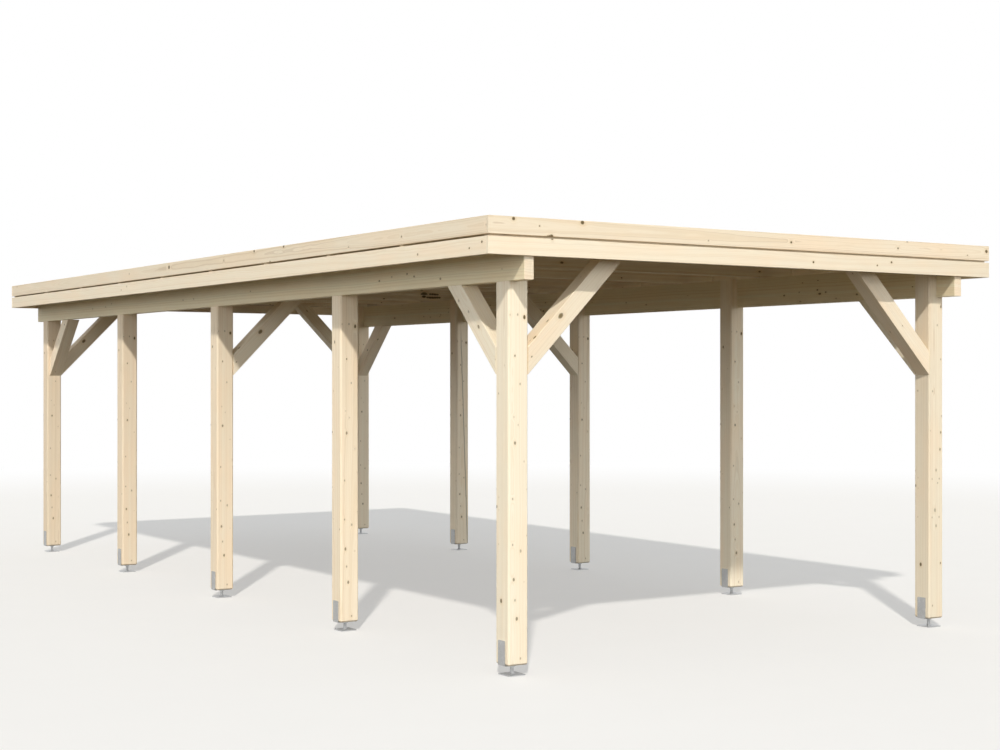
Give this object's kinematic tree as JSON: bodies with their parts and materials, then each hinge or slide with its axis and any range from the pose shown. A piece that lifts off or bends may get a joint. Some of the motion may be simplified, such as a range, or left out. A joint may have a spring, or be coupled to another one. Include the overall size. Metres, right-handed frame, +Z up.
{
  "type": "carport",
  "caption": "Freestanding flat-roofed timber carport: square posts on steel feet, two beams, rafters, 45-degree braces and a two-board fascia.",
  "frame": {"origin": "on the ground under the middle of the roof", "axes": "+X across the carport to its right seen from the entrance, +Y along it to the rear, +Z up"},
  "size_m": [3.598, 7.64, 2.298],
  "materials": {
    "framing_timber": "planed, untreated spruce",
    "roof_timber": "planed, untreated spruce",
    "fascia_timber": "planed, untreated spruce",
    "galvanised_steel": "hot-dip galvanised",
    "roof_sheet": "matt bitumen-like membrane"
  },
  "bodies": {
    "root": {"left_post_1": "framing_timber", "left_foot_1": "galvanised_steel", "left_post_2": "framing_timber", "left_foot_2": "galvanised_steel", "left_post_3": "framing_timber", "left_foot_3": "galvanised_steel", "left_post_4": "framing_timber", "left_foot_4": "galvanised_steel", "left_post_5": "framing_timber", "left_foot_5": "galvanised_steel", "left_beam": "framing_timber", "left_cross_brace_1": "framing_timber", "left_cross_brace_3": "framing_timber", "left_cross_brace_5": "framing_timber", "left_long_brace_1": "framing_timber", "left_long_brace_5": "framing_timber", "right_post_1": "framing_timber", "right_foot_1": "galvanised_steel", "right_post_2": "framing_timber", "right_foot_2": "galvanised_steel", "right_post_3": "framing_timber", "right_foot_3": "galvanised_steel", "right_post_4": "framing_timber", "right_foot_4": "galvanised_steel", "right_post_5": "framing_timber", "right_foot_5": "galvanised_steel", "right_beam": "framing_timber", "right_cross_brace_1": "framing_timber", "right_cross_brace_3": "framing_timber", "right_cross_brace_5": "framing_timber", "right_long_brace_1": "framing_timber", "right_long_brace_5": "framing_timber", "rafters": "roof_timber", "roof_boards": "roof_timber", "roof_sheet": "roof_sheet", "front_fascia_upper": "fascia_timber", "front_fascia_lower": "fascia_timber", "rear_fascia_upper": "fascia_timber", "rear_fascia_lower": "fascia_timber", "left_fascia_upper": "fascia_timber", "left_fascia_lower": "fascia_timber", "right_fascia_upper": "fascia_timber", "right_fascia_lower": "fascia_timber"}
  },
  "joints": []
}
